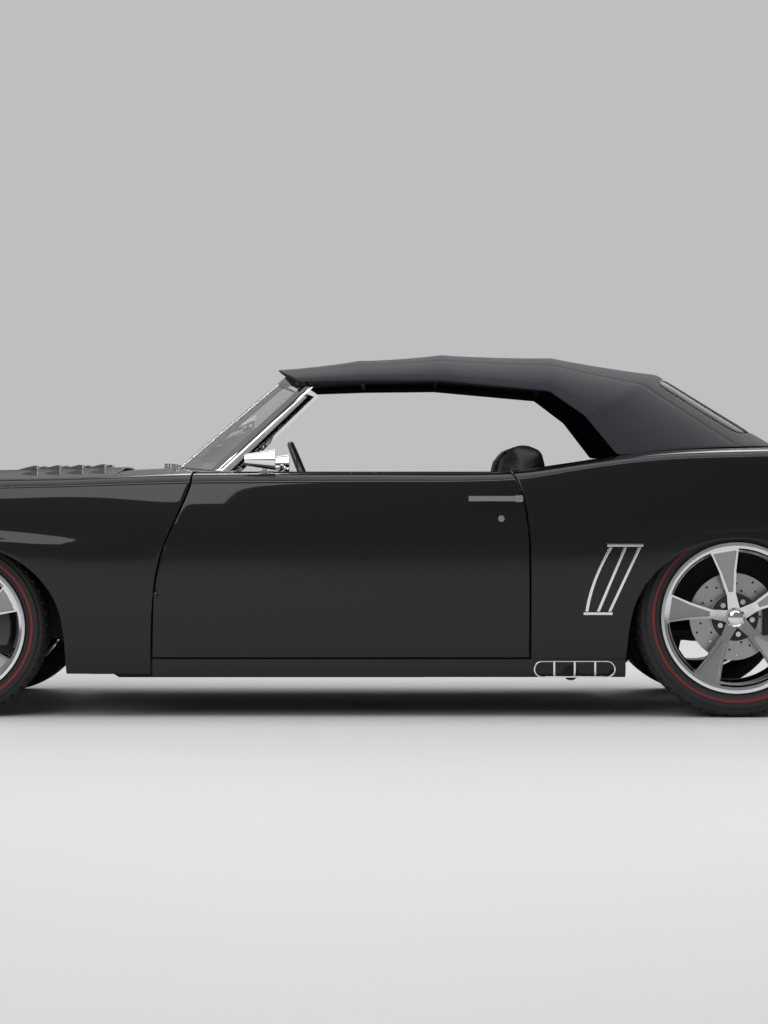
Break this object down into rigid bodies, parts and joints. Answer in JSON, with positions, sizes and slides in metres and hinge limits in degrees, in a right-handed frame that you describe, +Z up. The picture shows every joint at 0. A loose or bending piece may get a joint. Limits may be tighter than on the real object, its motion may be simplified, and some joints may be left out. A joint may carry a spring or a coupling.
{
  "type": "two-door convertible muscle car",
  "caption": "Black two-door convertible with fabric top up, flared-spoke wheels, chrome trim and side exhaust outlets; doors, hood and trunk lid open, wheels roll and front wheels steer",
  "frame": {"origin": "on the ground under the middle of the car's length and width", "axes": "X rearward, Y to the car's right, Z up"},
  "size_m": [4.724, 1.9032, 1.303],
  "materials": {
    "black_paint": "deep gloss",
    "chassis_black": "satin",
    "chrome": "mirror bright",
    "clear_glass": "clear",
    "top_fabric": "woven, matt",
    "cabin_vinyl": "grained",
    "seat_leather": "soft satin",
    "lamp_glass": "clear, bright behind",
    "red_lens": "gloss",
    "cast_block": "painted cast",
    "pipe_steel": "brushed",
    "wheel_rim_plastic": "gloss",
    "alloy": "polished with satin pockets",
    "tyre": "matt with a thin red ring",
    "disc_steel": "ground"
  },
  "bodies": {
    "body": {"front_fenders": "black_paint", "quarter_panels": "black_paint", "rockers": "black_paint", "cowl": "black_paint", "firewall": "chassis_black", "floor_pan": "chassis_black", "nose_panel": "black_paint", "tail_panel": "black_paint", "deck_filler": "black_paint", "wheelhouses": "chassis_black", "windshield_frame": "chrome", "windshield": "clear_glass", "wipers": "chrome", "soft_top": "top_fabric", "dashboard": "cabin_vinyl", "front_seats": "seat_leather", "rear_seat": "seat_leather", "grille": "chassis_black", "headlamps": "lamp_glass", "tail_lamps": "red_lens", "front_bumper": "chrome", "rear_bumper": "chrome", "front_subframe": "chassis_black", "front_suspension": "chassis_black", "engine": "cast_block", "driveline": "chassis_black", "exhaust": "pipe_steel", "exhaust_tips": "chrome", "rear_axle": "chassis_black", "leaf_springs": "chassis_black", "fuel_tank": "pipe_steel", "quarter_gills": "chrome"},
    "hood": {"hood": "black_paint"},
    "deck_lid": {"deck_lid": "black_paint"},
    "door_left": {"door_left": "black_paint", "door_chrome_left": "chrome"},
    "door_right": {"door_right": "black_paint", "door_chrome_right": "chrome"},
    "steer_left": {"knuckle_left": "chassis_black"},
    "steer_right": {"knuckle_right": "chassis_black"},
    "steering_wheel": {"steering_wheel": "wheel_rim_plastic"},
    "roll_front_left": {"wheel_front_left": "alloy", "tyre_front_left": "tyre", "brake_disc_front_left": "disc_steel"},
    "roll_front_right": {"wheel_front_right": "alloy", "tyre_front_right": "tyre", "brake_disc_front_right": "disc_steel"},
    "roll_rear_left": {"wheel_rear_left": "alloy", "tyre_rear_left": "tyre", "brake_disc_rear_left": "disc_steel"},
    "roll_rear_right": {"wheel_rear_right": "alloy", "tyre_rear_right": "tyre", "brake_disc_rear_right": "disc_steel"}
  },
  "joints": [
    {"name": "door_left_hinge", "type": "hinge", "parent": "body", "child": "door_left", "pos_m": [-0.785, -0.885, 0.52], "axis": [0, 0, -1], "range_deg": [0, 62]},
    {"name": "door_right_hinge", "type": "hinge", "parent": "body", "child": "door_right", "pos_m": [-0.785, 0.885, 0.52], "axis": [0, 0, 1], "range_deg": [0, 62]},
    {"name": "hood_hinge", "type": "hinge", "parent": "body", "child": "hood", "pos_m": [-0.82, 0, 0.83315], "axis": [0, 1, 0], "range_deg": [0, 48]},
    {"name": "deck_lid_hinge", "type": "hinge", "parent": "body", "child": "deck_lid", "pos_m": [1.558, 0, 0.92684], "axis": [0, -1, 0], "range_deg": [0, 70]},
    {"name": "steer_left_turn", "type": "hinge", "parent": "body", "child": "steer_left", "pos_m": [-1.432, -0.7, 0.316], "axis": [0, 0, 1], "range_deg": [-30, 30]},
    {"name": "steer_right_turn", "type": "hinge", "parent": "body", "child": "steer_right", "pos_m": [-1.432, 0.7, 0.316], "axis": [0, 0, 1], "range_deg": [-30, 30]},
    {"name": "steering_wheel_turn", "type": "hinge", "parent": "body", "child": "steering_wheel", "pos_m": [-0.202, -0.37, 0.8], "axis": [0.9272, 0, 0.3746], "range_deg": [-360, 360]},
    {"name": "roll_front_left_spin", "type": "hinge", "parent": "steer_left", "child": "roll_front_left", "pos_m": [-1.432, -0.757, 0.316], "axis": [0, -1, 0], "continuous": true},
    {"name": "roll_front_right_spin", "type": "hinge", "parent": "steer_right", "child": "roll_front_right", "pos_m": [-1.432, 0.757, 0.316], "axis": [0, -1, 0], "continuous": true},
    {"name": "roll_rear_left_spin", "type": "hinge", "parent": "body", "child": "roll_rear_left", "pos_m": [1.314, -0.75, 0.35], "axis": [0, -1, 0], "continuous": true},
    {"name": "roll_rear_right_spin", "type": "hinge", "parent": "body", "child": "roll_rear_right", "pos_m": [1.314, 0.75, 0.35], "axis": [0, -1, 0], "continuous": true}
  ],
  "couplings": [
    {"joint": "steer_right_turn", "follows": "steer_left_turn", "ratio": 1},
    {"joint": "steering_wheel_turn", "follows": "steer_left_turn", "ratio": 12}
  ]
}
